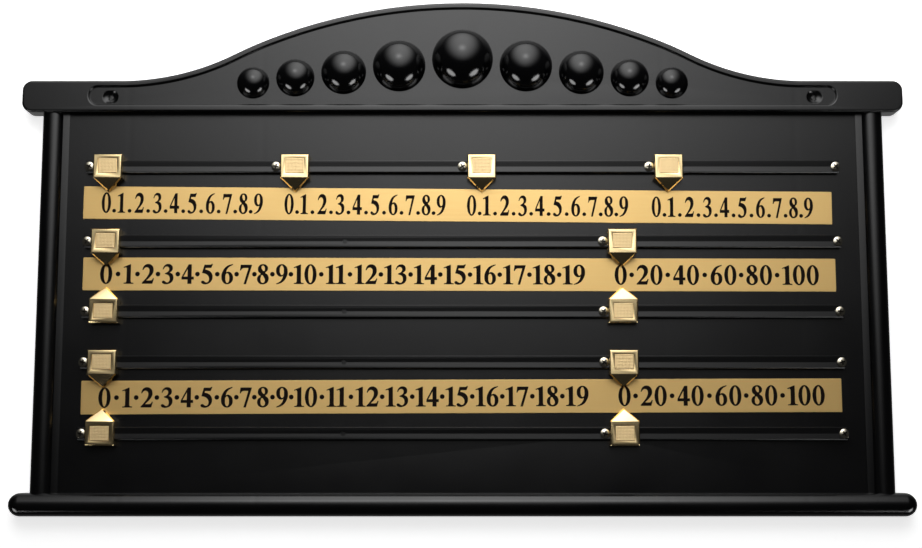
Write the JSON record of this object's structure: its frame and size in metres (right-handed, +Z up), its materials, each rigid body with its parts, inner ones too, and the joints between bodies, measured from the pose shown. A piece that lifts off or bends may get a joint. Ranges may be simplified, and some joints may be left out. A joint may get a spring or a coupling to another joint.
{
  "type": "cue sports scoring board",
  "caption": "Wall-hung black board with a crowned header, gold number strips and screwed rails on which gold pointers slide to keep a running score.",
  "frame": {"origin": "midway between the two wall holes, on the wall plane at the board's back", "axes": "+X to the right along the rails, +Z up, -Y out of the wall towards the player"},
  "size_m": [0.8, 0.0368, 0.4649],
  "materials": {
    "moulded_black": "moulded ABS, satin gloss",
    "gloss_black": "polished",
    "gold_strip": "satin gold foil on plastic",
    "rail_black": "extruded, gloss",
    "screw_steel": "nickel plated",
    "pin_black": "blackened",
    "gold_pointer": "gold plated ABS",
    "spring_bronze": "spring strip"
  },
  "bodies": {
    "root": {"board": "moulded_black", "half_ball_1": "gloss_black", "half_ball_2": "gloss_black", "half_ball_3": "gloss_black", "half_ball_4": "gloss_black", "half_ball_5": "gloss_black", "half_ball_6": "gloss_black", "half_ball_7": "gloss_black", "half_ball_8": "gloss_black", "half_ball_9": "gloss_black", "strip_1": "gold_strip", "strip_2": "gold_strip", "strip_3": "gold_strip", "rail_1": "rail_black", "rail_2": "rail_black", "rail_3": "rail_black", "rail_4": "rail_black", "rail_5": "rail_black", "screws_1": "screw_steel", "screws_2": "screw_steel", "screws_3": "screw_steel", "screws_4": "screw_steel", "screws_5": "screw_steel", "rail_pins": "pin_black"},
    "slider_1a": {"pointer_1a": "gold_pointer", "spring_1a": "spring_bronze"},
    "slider_1b": {"pointer_1b": "gold_pointer", "spring_1b": "spring_bronze"},
    "slider_1c": {"pointer_1c": "gold_pointer", "spring_1c": "spring_bronze"},
    "slider_1d": {"pointer_1d": "gold_pointer", "spring_1d": "spring_bronze"},
    "slider_2a": {"pointer_2a": "gold_pointer", "spring_2a": "spring_bronze"},
    "slider_2b": {"pointer_2b": "gold_pointer", "spring_2b": "spring_bronze"},
    "slider_3a": {"pointer_3a": "gold_pointer", "spring_3a": "spring_bronze"},
    "slider_3b": {"pointer_3b": "gold_pointer", "spring_3b": "spring_bronze"},
    "slider_4a": {"pointer_4a": "gold_pointer", "spring_4a": "spring_bronze"},
    "slider_4b": {"pointer_4b": "gold_pointer", "spring_4b": "spring_bronze"},
    "slider_5a": {"pointer_5a": "gold_pointer", "spring_5a": "spring_bronze"},
    "slider_5b": {"pointer_5b": "gold_pointer", "spring_5b": "spring_bronze"}
  },
  "joints": [
    {"name": "slide_1a", "type": "slide", "parent": "root", "child": "slider_1a", "axis": [1, 0, 0], "range_m": [0, 0.134]},
    {"name": "slide_1b", "type": "slide", "parent": "root", "child": "slider_1b", "axis": [1, 0, 0], "range_m": [0, 0.134]},
    {"name": "slide_1c", "type": "slide", "parent": "root", "child": "slider_1c", "axis": [1, 0, 0], "range_m": [0, 0.134]},
    {"name": "slide_1d", "type": "slide", "parent": "root", "child": "slider_1d", "axis": [1, 0, 0], "range_m": [0, 0.134]},
    {"name": "slide_2a", "type": "slide", "parent": "root", "child": "slider_2a", "axis": [1, 0, 0], "range_m": [0, 0.4288]},
    {"name": "slide_2b", "type": "slide", "parent": "root", "child": "slider_2b", "axis": [1, 0, 0], "range_m": [0, 0.1768]},
    {"name": "slide_3a", "type": "slide", "parent": "root", "child": "slider_3a", "axis": [1, 0, 0], "range_m": [0, 0.4288]},
    {"name": "slide_3b", "type": "slide", "parent": "root", "child": "slider_3b", "axis": [1, 0, 0], "range_m": [0, 0.1768]},
    {"name": "slide_4a", "type": "slide", "parent": "root", "child": "slider_4a", "axis": [1, 0, 0], "range_m": [0, 0.4288]},
    {"name": "slide_4b", "type": "slide", "parent": "root", "child": "slider_4b", "axis": [1, 0, 0], "range_m": [0, 0.1768]},
    {"name": "slide_5a", "type": "slide", "parent": "root", "child": "slider_5a", "axis": [1, 0, 0], "range_m": [0, 0.4288]},
    {"name": "slide_5b", "type": "slide", "parent": "root", "child": "slider_5b", "axis": [1, 0, 0], "range_m": [0, 0.1768]}
  ]
}
